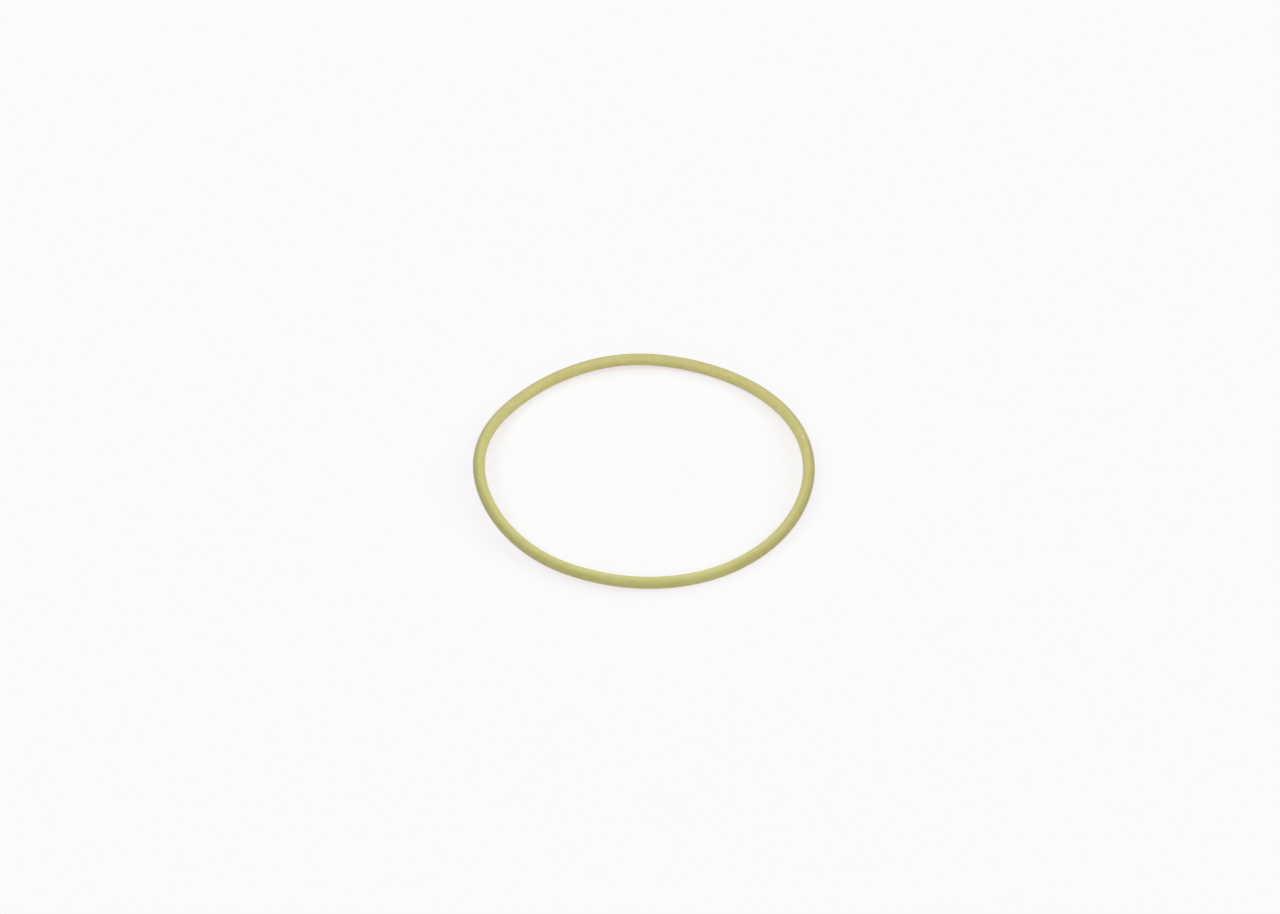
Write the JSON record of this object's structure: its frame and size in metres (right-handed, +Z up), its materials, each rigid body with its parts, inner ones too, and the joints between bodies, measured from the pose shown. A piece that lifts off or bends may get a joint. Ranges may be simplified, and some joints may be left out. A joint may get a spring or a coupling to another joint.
{
  "type": "sealing ring",
  "caption": "Round sealing ring of solid round elastomer cord that seats in a groove and is squeezed between two pipe or valve faces to stop leaks.",
  "frame": {"origin": "on the surface that the ring lies on, under the middle of the ring", "axes": "+Z up, along the ring's axis; +X to the right and -Y to the front of the view that the ring was built from"},
  "size_m": [0.086, 0.086, 0.0057],
  "materials": {
    "elastomer": "satin"
  },
  "bodies": {
    "root": {"sealing_ring": "elastomer"}
  },
  "joints": []
}
